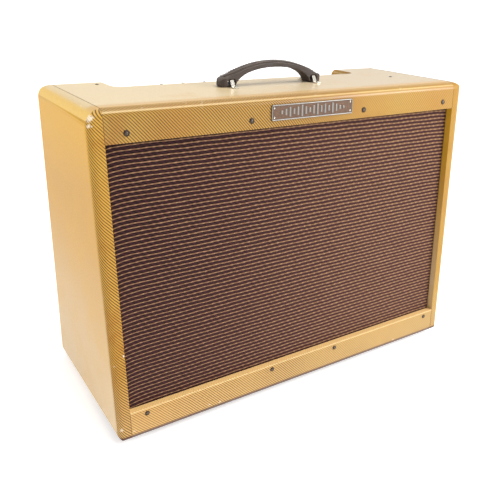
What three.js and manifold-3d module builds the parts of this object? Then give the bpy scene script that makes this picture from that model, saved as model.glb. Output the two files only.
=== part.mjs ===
// Guitar amplifier: a fabric-covered combo cabinet with two 12-inch speakers, an open back, a
// valve chassis hung under the rear of its top and a leather carrying handle.
// Millimetres, +Z up. The grille faces -Y and +X is to the right of someone looking at it.
// The origin is on the floor under the middle of the cabinet's base.

import * as THREE from 'three';
import { mergeVertices } from 'three/addons/utils/BufferGeometryUtils.js';
import Module from 'manifold-3d';

const wasm = await Module();
wasm.setup();

// ---------------------------------------------------------------- driving dimensions

const GAP = 0.3; // between pieces that touch

const CABINET_WIDTH = 673;
const CABINET_HEIGHT = 481;
const BASE_DEPTH = 288;
const FRONT_LEAN = 0.0724; // the front goes back this much per mm of height
const REAR_LEAN = 0.0547; // the rear comes forward this much per mm of height
const EDGE_RADIUS = 12; // edges that run round the front and the back
const CORNER_RADIUS = 21; // edges that run from the front to the back
const SIDE_THICKNESS = 21;
const BOARD_THICKNESS = 19;
const GLIDE_HEIGHT = 8;

const PANEL_THICKNESS = 9.9;
const UPPER_PANEL_HEIGHT = 44;
const LOWER_PANEL_HEIGHT = 48.5;
const CLOTH_THICKNESS = 1.5;
const CLOTH_LAP = 6; // how far the cloth runs up behind each front panel
const BAFFLE_THICKNESS = 12.7;
const BACK_THICKNESS = 9.5;
const BACK_GAP_LOW = 172; // the open part of the back, between its two panels
const BACK_GAP_HIGH = 312;

const SPEAKER_SPACING = 314;
const SPEAKER_RADIUS = 152;
const SPEAKER_HOLE_RADIUS = 137;
const CONE_TRAVEL = 3;

const CUTOUT_LEFT = -240; // the opening in the top board over the control panel
const CUTOUT_RIGHT = 228;
const CUTOUT_FRONT = 50;
const CONTROL_PANEL_DROP = 26; // below the top of the cabinet
const CONTROL_ROW = 78; // y of the knobs and switches
const KNOB_PLACES = { presence: 19, bass: 55, treble: 91, volume_1: 127, volume_2: 163 };
const KNOB_TURNS = { presence: 8, bass: -100, treble: 40, volume_1: 130, volume_2: -20 };
const SWITCH_PLACES = { ground: -154, power: -116, standby: -77 };
const PILOT_PLACE = -38;
const FUSE_PLACE = -196;
const JACK_COLUMNS = [196, 216];
const JACK_ROWS = [64, 92];
const SWITCH_THROW = 13; // degrees either side of upright

const HANDLE_Y = -5;
const HANDLE_HALF_LENGTH = 96;
const HANDLE_RISE = 34.5;
const HANDLE_WIDTH = 23;
const SLOT_CENTRE = 78;

// ---------------------------------------------------------------- derived places

const HALF_WIDTH = CABINET_WIDTH / 2;
const FLOOR_OF_BOX = GLIDE_HEIGHT;
const TOP = GLIDE_HEIGHT + CABINET_HEIGHT;
const INSIDE_HALF = HALF_WIDTH - SIDE_THICKNESS - GAP;
const BOTTOM_BOARD_TOP = FLOOR_OF_BOX + BOARD_THICKNESS;
const TOP_BOARD_BOTTOM = TOP - BOARD_THICKNESS;
const OPENING_LOW = FLOOR_OF_BOX + LOWER_PANEL_HEIGHT;
const OPENING_HIGH = TOP - UPPER_PANEL_HEIGHT;
const CLOTH_FRONT = PANEL_THICKNESS + GAP;
const BAFFLE_FRONT = CLOTH_FRONT + CLOTH_THICKNESS + GAP;
const BAFFLE_REAR = BAFFLE_FRONT + BAFFLE_THICKNESS;
const SPEAKER_HEIGHT = (OPENING_LOW + OPENING_HIGH) / 2;
const CONTROL_Z = TOP - CONTROL_PANEL_DROP;
const LEAN_ANGLE = Math.atan(FRONT_LEAN);

const frontAt = (z) => -BASE_DEPTH / 2 + FRONT_LEAN * (z - FLOOR_OF_BOX);
const rearAt = (z) => BASE_DEPTH / 2 - REAR_LEAN * (z - FLOOR_OF_BOX);

// ---------------------------------------------------------------- materials

const paint = (color, roughness, metalness = 0) =>
  new THREE.MeshStandardMaterial({ color, roughness, metalness });

const TWEED = paint(0xc08a3c, 0.85);
const PALE_TWEED = paint(0xd9bf92, 0.85);
const GRILLE = paint(0x4a1712, 0.9);
const PINE = paint(0xcfa873, 0.7);
const PLYWOOD = paint(0xb98f5c, 0.75);
const LEATHER = paint(0x55453c, 0.6);
const NICKEL = paint(0xc9c6bf, 0.25, 1);
const CHROME = paint(0xdadada, 0.1, 1);
const STEEL = paint(0x9a9a98, 0.4, 1);
const BLACK_STEEL = paint(0x1b1b1c, 0.5, 0.6);
const BAKELITE = paint(0x0d0c0b, 0.3);
const RED_GLASS = paint(0xb01810, 0.1);
const GLASS = paint(0xbfc4c4, 0.05);
const BOARD = paint(0x5d5136, 0.7);
const BASKET_GREY = paint(0x6a6f6f, 0.45, 0.5);
const CONE_PAPER = paint(0x2a2623, 0.95);
const RUBBER = paint(0x141414, 0.8);

// ---------------------------------------------------------------- solids

const X = new THREE.Vector3(1, 0, 0);
const Y = new THREE.Vector3(0, 1, 0);
const Z = new THREE.Vector3(0, 0, 1);

// A closed three.js geometry as a solid that can be joined and cut.
function solid(geometry) {
  const bare = geometry.clone();
  for (const name of Object.keys(bare.attributes)) {
    if (name !== 'position') bare.deleteAttribute(name);
  }
  const merged = mergeVertices(bare, 1e-4);
  const index = merged.index.array;
  const kept = [];
  for (let i = 0; i < index.length; i += 3) {
    const [a, b, c] = [index[i], index[i + 1], index[i + 2]];
    if (a !== b && b !== c && c !== a) kept.push(a, b, c);
  }
  return new wasm.Manifold(
    new wasm.Mesh({
      numProp: 3,
      vertProperties: merged.attributes.position.array,
      triVerts: Uint32Array.from(kept),
    }),
  );
}

function geometryOf(body) {
  const mesh = body.getMesh();
  const geometry = new THREE.BufferGeometry();
  geometry.setAttribute('position', new THREE.BufferAttribute(mesh.vertProperties, 3));
  geometry.setIndex(new THREE.BufferAttribute(mesh.triVerts, 1));
  geometry.computeVertexNormals();
  return geometry;
}

const join = (...bodies) => bodies.reduce((all, body) => all.add(body));
const cut = (body, ...tools) => tools.reduce((left, tool) => left.subtract(tool), body);

function box([x0, x1], [y0, y1], [z0, z1]) {
  const geometry = new THREE.BoxGeometry(x1 - x0, y1 - y0, z1 - z0);
  return solid(geometry.translate((x0 + x1) / 2, (y0 + y1) / 2, (z0 + z1) / 2));
}

// A shape drawn in two axes and run along the third, from one place on it to another.
function prism(shape, across, up, along, from, to, curveSegments = 6) {
  const geometry = new THREE.ExtrudeGeometry(shape, {
    depth: to - from,
    bevelEnabled: false,
    curveSegments,
  });
  geometry.translate(0, 0, from);
  return solid(geometry.applyMatrix4(new THREE.Matrix4().makeBasis(across, up, along)));
}
const prismX = (shape, from, to, segments) => prism(shape, Y, Z, X, from, to, segments);
const prismY = (shape, from, to, segments) =>
  prism(shape, X, Z, Y.clone().negate(), -to, -from, segments);

function cylinder(radius, z0, z1, sides = 12, topRadius = radius) {
  const geometry = new THREE.CylinderGeometry(topRadius, radius, z1 - z0, sides);
  return solid(geometry.rotateX(Math.PI / 2).translate(0, 0, (z0 + z1) / 2));
}

// A profile of [radius, z] pairs turned about Z. It starts and ends on the axis.
function turned(profile, sides = 14) {
  const points = profile.map(([radius, z]) => new THREE.Vector2(radius, z));
  return solid(new THREE.LatheGeometry(points, sides).rotateX(Math.PI / 2));
}

// A polygon whose corners are rounded off, each by an arc that starts this far from the corner.
function roundedShape(corners, radius) {
  const arc = 0.5523;
  const shape = new THREE.Shape();
  const count = corners.length;
  const toward = ([ax, ay], [bx, by]) => {
    const length = Math.hypot(bx - ax, by - ay);
    return [ax + ((bx - ax) * radius) / length, ay + ((by - ay) * radius) / length];
  };
  corners.forEach((corner, i) => {
    const start = toward(corner, corners[(i + count - 1) % count]);
    const end = toward(corner, corners[(i + 1) % count]);
    if (i === 0) shape.moveTo(...start);
    else shape.lineTo(...start);
    const handles = [start, end].flatMap(([x, y]) => [
      x + (corner[0] - x) * arc,
      y + (corner[1] - y) * arc,
    ]);
    shape.bezierCurveTo(...handles, ...end);
  });
  shape.closePath();
  return shape;
}

const rectangle = ([x0, x1], [y0, y1]) => [
  [x0, y0],
  [x1, y0],
  [x1, y1],
  [x0, y1],
];

// Moves every point in y by an amount that depends on the point.
function warpY(body, rule) {
  return body.warp((point) => {
    point[1] = rule(point);
  });
}
const leanWithFront = (body) => warpY(body, ([, y, z]) => frontAt(z) + y);
const leanWithRear = (body) => warpY(body, ([, y, z]) => rearAt(z) + y);

const amplifier = new THREE.Group();

function piece(name, body, material, parent = amplifier) {
  const mesh = new THREE.Mesh(geometryOf(body), material);
  mesh.name = name;
  parent.add(mesh);
  return mesh;
}

// ---------------------------------------------------------------- cabinet

// The outside of the whole cabinet with its rounded edges. Each board is cut from it.
function cabinetForm() {
  const side = roundedShape(
    [
      [frontAt(FLOOR_OF_BOX), FLOOR_OF_BOX],
      [rearAt(FLOOR_OF_BOX), FLOOR_OF_BOX],
      [rearAt(TOP), TOP],
      [frontAt(TOP), TOP],
    ],
    EDGE_RADIUS,
  );
  const width = [-HALF_WIDTH, HALF_WIDTH];
  const front = roundedShape(rectangle(width, [FLOOR_OF_BOX, TOP]), CORNER_RADIUS);
  const plan = roundedShape(rectangle(width, [-BASE_DEPTH / 2, BASE_DEPTH / 2]), EDGE_RADIUS);
  const straight = prism(plan, X, Y, Z, FLOOR_OF_BOX, TOP);
  const tapered = warpY(straight, ([, y, z]) => {
    const share = y / BASE_DEPTH + 0.5;
    return frontAt(z) * (1 - share) + rearAt(z) * share;
  });
  return prismX(side, -HALF_WIDTH, HALF_WIDTH)
    .intersect(prismY(front, -BASE_DEPTH, BASE_DEPTH, 9))
    .intersect(tapered);
}

const form = cabinetForm();
const DEEP = [-BASE_DEPTH, BASE_DEPTH];
const INSIDE = [-INSIDE_HALF, INSIDE_HALF];

function sideBoards() {
  const inner = HALF_WIDTH - SIDE_THICKNESS;
  const tall = [0, TOP + 1];
  piece('side_board_left', form.intersect(box([-HALF_WIDTH, -inner], DEEP, tall)), TWEED);
  piece('side_board_right', form.intersect(box([inner, HALF_WIDTH], DEEP, tall)), TWEED);
}

function frontPanels() {
  const thick = [-1, PANEL_THICKNESS];
  const upper = leanWithFront(box(INSIDE, thick, [OPENING_HIGH, TOP + 1]));
  const lower = leanWithFront(box(INSIDE, thick, [0, OPENING_LOW]));
  piece('front_panel_upper', form.intersect(upper), TWEED);
  piece('front_panel_lower', form.intersect(lower), TWEED);
}

// The board is cut away at the rear, with rounded inside corners, to show the control panel.
function topBoard() {
  const frontEdge = frontAt(TOP) + PANEL_THICKNESS + GAP;
  const board = form.intersect(box(INSIDE, [frontEdge, BASE_DEPTH], [TOP_BOARD_BOTTOM, TOP + 1]));
  const opening = roundedShape(
    rectangle([CUTOUT_LEFT, CUTOUT_RIGHT], [CUTOUT_FRONT, BASE_DEPTH]),
    16,
  );
  const cutter = prism(opening, X, Y, Z, TOP_BOARD_BOTTOM - 1, TOP + 1);
  piece('top_board', cut(board, cutter), PALE_TWEED);
}

function bottomBoard() {
  const frontEdge = frontAt(BOTTOM_BOARD_TOP) + PANEL_THICKNESS + GAP;
  const body = form.intersect(box(INSIDE, [frontEdge, BASE_DEPTH], [0, BOTTOM_BOARD_TOP]));
  piece('bottom_board', body, TWEED);
}

function baffle() {
  const heights = [BOTTOM_BOARD_TOP + GAP, TOP_BOARD_BOTTOM - GAP];
  const board = box(INSIDE, [BAFFLE_FRONT, BAFFLE_REAR], heights);
  const holes = [-1, 1].map((sign) => {
    const round = new THREE.CylinderGeometry(SPEAKER_HOLE_RADIUS, SPEAKER_HOLE_RADIUS, 60, 32);
    return solid(round.translate((sign * SPEAKER_SPACING) / 2, BAFFLE_FRONT, SPEAKER_HEIGHT));
  });
  piece('baffle_board', leanWithFront(cut(board, ...holes)), PLYWOOD);

  const cloth = box(
    INSIDE,
    [CLOTH_FRONT, CLOTH_FRONT + CLOTH_THICKNESS],
    [OPENING_LOW - CLOTH_LAP, OPENING_HIGH + CLOTH_LAP],
  );
  piece('grille_cloth', leanWithFront(cloth), GRILLE);

  const cleat = [BAFFLE_REAR + GAP, BAFFLE_REAR + GAP + BOARD_THICKNESS];
  const across = [-INSIDE_HALF + 2, INSIDE_HALF - 2];
  const upper = [TOP_BOARD_BOTTOM - 22, TOP_BOARD_BOTTOM - GAP];
  const lower = [BOTTOM_BOARD_TOP + GAP, BOTTOM_BOARD_TOP + 22];
  piece('baffle_cleat_upper', leanWithFront(box(across, cleat, upper)), PINE);
  piece('baffle_cleat_lower', leanWithFront(box(across, cleat, lower)), PINE);
}

function backPanels() {
  const thick = [-BACK_THICKNESS, 0];
  const upper = box(INSIDE, thick, [BACK_GAP_HIGH, TOP_BOARD_BOTTOM - GAP]);
  const lower = box(INSIDE, thick, [BOTTOM_BOARD_TOP + GAP, BACK_GAP_LOW]);
  piece('back_panel_upper', leanWithRear(upper), TWEED);
  piece('back_panel_lower', leanWithRear(lower), TWEED);
}

function glides() {
  const foot = turned([
    [0, 0],
    [8, 0],
    [11, 3],
    [11, 6.2],
    [9, GLIDE_HEIGHT - GAP],
    [0, GLIDE_HEIGHT - GAP],
  ]);
  for (const [side, x] of [['left', -292], ['right', 292]]) {
    for (const [end, y] of [['front', -116], ['rear', 116]]) {
      piece(`glide_${end}_${side}`, foot, NICKEL).position.set(x, y, 0);
    }
  }
}

// A chrome rim round a brown field, with a row of raised bars and a nail in each corner.
function nameplate() {
  const [width, height, depth, rim] = [151, 22.5, 2, 1.8];
  const outer = roundedShape(rectangle([-width / 2, width / 2], [-height / 2, height / 2]), 2);
  const field = roundedShape(
    rectangle([-width / 2 + rim, width / 2 - rim], [-height / 2 + rim, height / 2 - rim]),
    1.5,
  );
  const plate = cut(prismY(outer, -depth, 0, 3), prismY(field, -depth - 1, -1, 3));
  const bars = [6, 10, 14, 8, 13, 16, 11, 7, 12, 15, 9, 5].map((tall, i) => {
    const x = (i - 5.5) * 9;
    return box([x - 1.6, x + 1.6], [-1.7, -0.5], [-tall / 2, tall / 2]);
  });
  const nails = [-1, 1].flatMap((sx) =>
    [-1, 1].map((sz) => {
      const head = new THREE.CylinderGeometry(1.6, 1.6, 1.5, 6);
      return solid(head.translate(sx * (width / 2 - 4.5), -1.25, sz * (height / 2 - 4.5)));
    }),
  );
  const mesh = piece('nameplate', join(plate, ...bars, ...nails), CHROME);
  const middle = TOP - EDGE_RADIUS - height / 2 - 0.3;
  mesh.rotation.x = -LEAN_ANGLE;
  mesh.position.set(7.5, frontAt(middle) - GAP, middle);
}

// ---------------------------------------------------------------- handle

// An arched leather strap with thick folded ends. A slot runs through each end, front to rear.
function handle() {
  const base = TOP + GAP;
  const [end, rise] = [HANDLE_HALF_LENGTH, HANDLE_RISE];
  const outline = new THREE.Shape();
  outline.moveTo(-end + 4, base);
  outline.lineTo(-71, base);
  outline.bezierCurveTo(-66, base + 18, -36, base + rise - 8, 0, base + rise - 8);
  outline.bezierCurveTo(36, base + rise - 8, 66, base + 18, 71, base);
  outline.lineTo(end - 4, base);
  outline.quadraticCurveTo(end + 1, base + 1, end, base + 7);
  outline.quadraticCurveTo(end - 1, base + 13, end - 10, base + 15);
  outline.bezierCurveTo(62, base + 24, 36, base + rise, 0, base + rise);
  outline.bezierCurveTo(-36, base + rise, -62, base + 24, -end + 10, base + 15);
  outline.quadraticCurveTo(-end + 1, base + 13, -end, base + 7);
  outline.quadraticCurveTo(-end - 1, base + 1, -end + 4, base);
  const [y0, y1] = [HANDLE_Y - HANDLE_WIDTH / 2, HANDLE_Y + HANDLE_WIDTH / 2];
  const plan = roundedShape(rectangle([-end, end], [y0, y1]), 9);
  const strap = prismY(outline, y0, y1, 8).intersect(prism(plan, X, Y, Z, base - 1, base + 60));
  const slots = [-1, 1].map((sign) => {
    const middle = sign * SLOT_CENTRE;
    const slot = roundedShape(rectangle([middle - 6.7, middle + 6.7], [base + 3.7, base + 11]), 3);
    return prismY(slot, y0 - 1, y1 + 1, 3);
  });
  piece('handle_strap', cut(strap, ...slots), LEATHER);
}

// A bent metal strap through each slot, screwed to the top board in front of and behind it.
function handleLinks() {
  const thick = 1.5;
  const [low, high] = [TOP + GAP, TOP + GAP + 9];
  const reach = HANDLE_WIDTH / 2;
  const line = (raise) => [
    [-reach - 16, low + raise],
    [-reach - 5, low + raise],
    [-reach - 0.7 + raise / 2, high + raise],
    [reach + 0.7 - raise / 2, high + raise],
    [reach + 5, low + raise],
    [reach + 16, low + raise],
  ];
  const outline = new THREE.Shape();
  [...line(0), ...line(thick).reverse()].forEach(([y, z], i) => {
    if (i === 0) outline.moveTo(HANDLE_Y + y, z);
    else outline.lineTo(HANDLE_Y + y, z);
  });
  const body = prismX(outline, -3.2, 3.2);
  const feet = [-1, 1].map((sign) =>
    turned([[0, 0], [5, 0], [5, thick], [3, thick], [2.4, thick + 1.3], [0, thick + 1.8]])
      .translate([0, HANDLE_Y + sign * (reach + 11), low]),
  );
  const link = join(body, ...feet);
  piece('handle_link_left', link, NICKEL).position.x = -SLOT_CENTRE;
  piece('handle_link_right', link, NICKEL).position.x = SLOT_CENTRE;
}

// ---------------------------------------------------------------- chassis

const CHASSIS_HALF = 262;
const CHASSIS_FRONT = -30;
const CHASSIS_REAR = 106;
const CHASSIS_DEPTH = 64;
const SHEET = 1.6;
const SHELF_Z = CONTROL_Z - CHASSIS_DEPTH; // underside of the shelf that carries the valves
const PANEL_FRONT = 44; // the control panel is a flange that stops here
const BOLT_X = 254; // four bolts through the top board hold the chassis up
const BOLT_ROWS = [-12, 85];

// Holes through the control panel: [x, y, radius].
const panelHoles = [
  ...Object.values(KNOB_PLACES).map((x) => [x, CONTROL_ROW, 5.2]),
  ...Object.values(SWITCH_PLACES).map((x) => [x, CONTROL_ROW, 6.4]),
  [PILOT_PLACE, CONTROL_ROW, 8.4],
  [FUSE_PLACE, CONTROL_ROW, 7.4],
  ...JACK_COLUMNS.flatMap((x) => JACK_ROWS.map((y) => [x, y, 5.2])),
];

function chassis() {
  const wide = [-CHASSIS_HALF, CHASSIS_HALF];
  const heights = [SHELF_Z, CONTROL_Z];
  const shell = join(
    box(wide, [CHASSIS_FRONT, CHASSIS_REAR], [SHELF_Z, SHELF_Z + SHEET]),
    box(wide, [CHASSIS_FRONT, CHASSIS_FRONT + SHEET], heights),
    box(wide, [CHASSIS_REAR - SHEET, CHASSIS_REAR], heights),
    box(wide, [PANEL_FRONT, CHASSIS_REAR], [CONTROL_Z - SHEET, CONTROL_Z]),
    box([-CHASSIS_HALF, -CHASSIS_HALF + SHEET], [CHASSIS_FRONT, CHASSIS_REAR], heights),
    box([CHASSIS_HALF - SHEET, CHASSIS_HALF], [CHASSIS_FRONT, CHASSIS_REAR], heights),
  );
  const ears = [-1, 1].map((sign) => {
    const x = [sign * CHASSIS_HALF, sign * (CHASSIS_HALF - 22)].sort((a, b) => a - b);
    return box(x, [CHASSIS_FRONT, PANEL_FRONT + 1], [CONTROL_Z - SHEET, CONTROL_Z]);
  });
  const spacers = [-1, 1].flatMap((sign) =>
    BOLT_ROWS.map((y) =>
      cylinder(5, CONTROL_Z - 0.5, TOP_BOARD_BOTTOM - GAP, 8).translate([sign * BOLT_X, y, 0]),
    ),
  );
  const holes = panelHoles.map(([x, y, radius]) =>
    cylinder(radius, CONTROL_Z - 5, CONTROL_Z + 5).translate([x, y, 0]),
  );
  piece('chassis', join(cut(shell, ...holes), ...ears, ...spacers), CHROME);
}

// A pointer knob with its shaft, turned to its rest place. The pointer lies along +X before that.
function knobs() {
  const [low, high] = [CONTROL_Z + 2.6, CONTROL_Z + 19.5];
  const pointer = roundedShape([[-11, -4], [0, -7.5], [17, -2.6], [17, 2.6], [0, 7.5], [-11, 4]], 2);
  const skirt = cylinder(9.8, low, low + 8, 18, 8.8);
  const wing = prism(pointer, X, Y, Z, low + 4, high, 2);
  const rounder = new THREE.Shape();
  rounder.moveTo(-14, low - 1);
  rounder.lineTo(20, low - 1);
  rounder.lineTo(18, high - 6);
  rounder.quadraticCurveTo(16, high, 0, high);
  rounder.quadraticCurveTo(-11, high, -12.5, high - 7);
  const crown = join(skirt, wing.intersect(prismY(rounder, -12, 12, 4)));
  const shaft = cylinder(3, CONTROL_Z - 10, low + 1, 10);
  for (const [name, x] of Object.entries(KNOB_PLACES)) {
    const mesh = piece(`knob_${name}`, join(crown, shaft), BAKELITE);
    mesh.rotation.z = THREE.MathUtils.degToRad(KNOB_TURNS[name]);
    mesh.position.set(x, CONTROL_ROW, 0);
  }
}

// A potentiometer: a can under the panel, and a bored bush with a nut above it.
function potentiometers() {
  const underside = CONTROL_Z - SHEET - GAP;
  const outer = join(
    cylinder(12, underside - 13, underside, 16),
    cylinder(4.8, underside - 1, CONTROL_Z + 2.2),
    cylinder(7, CONTROL_Z + GAP, CONTROL_Z + 2, 6),
  );
  const body = cut(outer, cylinder(3.4, CONTROL_Z - 11, CONTROL_Z + 3));
  for (const [name, x] of Object.entries(KNOB_PLACES)) {
    piece(`potentiometer_${name}`, body, STEEL).position.set(x, CONTROL_ROW, 0);
  }
}

// A toggle switch: its body and bush stay with the panel, and its bat tips about their centre.
function switches() {
  const underside = CONTROL_Z - SHEET - GAP;
  const outer = join(
    box([-7, 7], [-11, 11], [underside - 22, underside]),
    cylinder(6, underside - 1, CONTROL_Z + 5.5),
    cylinder(8.6, CONTROL_Z + GAP, CONTROL_Z + 2.6, 6),
  );
  const throat = cylinder(3.4, CONTROL_Z - 6, CONTROL_Z + 6, 12, 5.2);
  const body = cut(outer, throat);
  const bat = turned([
    [0, -4],
    [1.6, -3],
    [1.6, 8],
    [2.9, 20.3],
    [2.5, 23.4],
    [0, 24.2],
  ], 10);
  for (const [name, x] of Object.entries(SWITCH_PLACES)) {
    piece(`switch_body_${name}`, body, STEEL).position.set(x, CONTROL_ROW, 0);
    const lever = piece(`switch_lever_${name}`, bat, NICKEL);
    lever.rotation.x = THREE.MathUtils.degToRad(SWITCH_THROW);
    lever.position.set(x, CONTROL_ROW, CONTROL_Z);
  }
}

function pilotLamp() {
  const holder = turned([
    [0, -24],
    [7, -24],
    [8, -22],
    [8, GAP],
    [9.6, GAP],
    [9.6, 3],
    [8, 5],
    [6.8, 5],
    [6.8, -8],
    [0, -8],
  ]);
  piece('pilot_lamp_holder', holder, CHROME).position.set(PILOT_PLACE, CONTROL_ROW, CONTROL_Z);
  const jewel = turned([[0, -6], [6.4, -6], [6.4, 6], [5, 9.5], [2.4, 11.5], [0, 12]], 12);
  piece('pilot_jewel', jewel, RED_GLASS).position.set(PILOT_PLACE, CONTROL_ROW, CONTROL_Z);
}

function fuseHolder() {
  const body = turned([
    [0, -38],
    [5.5, -38],
    [7, -34],
    [7, GAP],
    [9, GAP],
    [9, 3],
    [7, 3.4],
    [7, 11],
    [5.8, 12.4],
    [0, 12.4],
  ]);
  const grip = box([-8, 8], [-0.9, 0.9], [10.6, 14]);
  const place = piece('fuse_holder', cut(body, grip), BAKELITE).position;
  place.set(FUSE_PLACE, CONTROL_ROW, CONTROL_Z);
}

function inputJacks() {
  const underside = -SHEET - GAP;
  const outer = join(
    box([-8, 8], [-9, 9], [underside - 3, underside]),
    box([-3, 3], [6, 9], [underside - 24, underside]),
    cylinder(4.9, underside - 26, 4),
    cylinder(7.4, GAP, 2.6, 6),
  );
  const jack = cut(outer, cylinder(3.4, -24, 5));
  let number = 0;
  for (const x of JACK_COLUMNS) {
    for (const y of JACK_ROWS) {
      number += 1;
      piece(`input_jack_${number}`, jack, NICKEL).position.set(x, y, CONTROL_Z);
    }
  }
}

// Laminated core with two end bells, hung from the shelf by its top.
function transformer(name, x, y, [wide, deep, tall]) {
  const top = -GAP;
  const core = box([-wide * 0.24, wide * 0.24], [-deep / 2, deep / 2], [top - tall, top]);
  const outline = roundedShape(rectangle([-deep * 0.4, deep * 0.4], [top - tall * 0.94, top]), 8);
  const bells = prismX(outline, -wide / 2, wide / 2, 4);
  piece(name, join(core, bells), BLACK_STEEL).position.set(x, y, SHELF_Z);
}

// A valve hanging from the shelf: base, then glass.
function valve(name, x, y, [base, glass, tall]) {
  const bottom = -GAP - tall;
  const body = turned([
    [0, bottom],
    [glass * 0.45, bottom + 3],
    [glass * 0.8, bottom + glass * 0.5],
    [glass * 0.86, bottom + tall * 0.28],
    [glass, bottom + tall * 0.4],
    [glass, bottom + tall * 0.62],
    [base * 0.92, -30],
    [base * 0.92, -24],
    [base, -24],
    [base, -GAP],
    [0, -GAP],
  ], 14);
  piece(name, body, GLASS).position.set(x, y, SHELF_Z);
}

function valves() {
  valve('power_valve_1', 20, 74, [17.5, 25, 118]);
  valve('power_valve_2', 86, 74, [17.5, 25, 118]);
  valve('rectifier_valve', -62, 74, [17.5, 23, 108]);
  const shield = turned([
    [0, -56],
    [7, -56],
    [11, -52],
    [11.4, -6],
    [13, -6],
    [13, -GAP],
    [0, -GAP],
  ], 12);
  [134, 168, 202].forEach((x, i) => {
    piece(`preamp_valve_${i + 1}`, shield, NICKEL).position.set(x, 78, SHELF_Z);
  });
}

function transformers() {
  transformer('power_transformer', -190, 66, [96, 74, 84]);
  transformer('output_transformer', -118, 6, [66, 54, 58]);
  transformer('filter_choke', 60, 4, [50, 40, 42]);
}

// The eyelet board with its capacitors and resistors, on the chassis floor.
function circuitBoard() {
  const floor = SHELF_Z + SHEET + GAP;
  const board = box([-225, 225], [-20, 36], [floor + 6, floor + 9]);
  const posts = [-200, 0, 200].map((x) => box([x - 4, x + 4], [2, 10], [floor, floor + 7]));
  const parts = [];
  for (let i = 0; i < 9; i += 1) {
    const long = i % 3 === 0;
    const tube = new THREE.CylinderGeometry(long ? 7 : 4, long ? 7 : 4, long ? 44 : 30, 8);
    parts.push(solid(tube.translate(-196 + i * 49, 8, floor + (long ? 14 : 11.5))));
  }
  piece('circuit_board', join(board, ...posts, ...parts), BOARD);
}

// The rubber bush that the mains cord goes out through, in the shelf near the left end.
function cordGland() {
  const bush = turned([
    [0, -9],
    [6, -9],
    [7, -GAP],
    [0, -GAP],
  ], 12);
  const body = cut(bush, cylinder(3.2, -10, -3));
  piece('cord_gland', body, RUBBER).position.set(-246, 20, SHELF_Z);
}

// ---------------------------------------------------------------- speakers

// Both are drawn about Z with the cone opening down -Z, which is then turned to face the front.
function speakerFrame() {
  const shell = turned([
    [0, 80],
    [27, 80],
    [27, 66],
    [52, 62],
    [134, 8],
    [140, 0],
    [SPEAKER_RADIUS, 0],
    [SPEAKER_RADIUS, 3],
    [137, 11],
    [56, 66],
    [58, 108],
    [52, 116],
    [0, 116],
  ], 32);
  const windows = [];
  const count = 6;
  for (let i = 0; i < count; i += 1) {
    const window = box([66, 128], [-24, 24], [8, 62]);
    windows.push(window.rotate([0, 0, (360 / count) * (i + 0.5)]));
  }
  const terminals = box([-16, 16], [-70, -56], [78, 92]);
  return join(cut(shell, ...windows), terminals);
}

// Paper cone with its rolled edge, voice-coil former and dust cap.
function speakerCone() {
  return turned([
    [0, 42],
    [20, 40],
    [30, 36],
    [118, -3],
    [124, -5.5],
    [131, -2],
    [131, 0],
    [124, -2.5],
    [118, 0],
    [34, 43],
    [24.5, 49],
    [24.5, 70],
    [0, 70],
  ], 32);
}

function speakers() {
  const [frame, cone] = [speakerFrame(), speakerCone()];
  const rimY = BAFFLE_REAR + GAP + 0.2;
  for (const [side, sign] of [['left', -1], ['right', 1]]) {
    const mount = new THREE.Group();
    mount.rotation.x = -Math.PI / 2 - LEAN_ANGLE;
    mount.position.set(
      (sign * SPEAKER_SPACING) / 2,
      frontAt(SPEAKER_HEIGHT) + rimY,
      SPEAKER_HEIGHT,
    );
    amplifier.add(mount);
    piece(`speaker_frame_${side}`, frame, BASKET_GREY, mount);
    piece(`speaker_cone_${side}`, cone, CONE_PAPER, mount).position.z = CONE_TRAVEL + 2;
  }
}

// The lead from the chassis down past the right speaker's terminals to the left speaker's.
function speakerLead() {
  const route = [
    [96, 30, SHELF_Z - GAP],
    [98, 30, 372],
    [118, 20, 345],
    [153, -4, 325],
    [157, -12, 321],
    [132, -8, 320],
    [60, 14, 300],
    [0, 20, 296],
    [-70, 14, 302],
    [-124, -4, 322],
    [-150, -11, 326],
    [-157, -12, 316.2],
  ];
  const curve = new THREE.CatmullRomCurve3(route.map((point) => new THREE.Vector3(...point)));
  const section = new THREE.Shape(new THREE.EllipseCurve(0, 0, 2.2, 2.2).getPoints(8).slice(1));
  const tube = new THREE.ExtrudeGeometry(section, { extrudePath: curve, steps: 30 });
  piece('speaker_lead', solid(tube), RUBBER);
}

sideBoards();
frontPanels();
topBoard();
bottomBoard();
baffle();
backPanels();
glides();
nameplate();
handle();
handleLinks();
chassis();
knobs();
potentiometers();
switches();
pilotLamp();
fuseHolder();
inputJacks();
transformers();
valves();
circuitBoard();
cordGland();
speakers();
speakerLead();

export default amplifier;
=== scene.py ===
"""Guitar amplifier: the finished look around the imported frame. Metres, +Z up, front to -Y."""
import math
import random

import bpy
from mathutils import Matrix, Vector, noise


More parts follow.
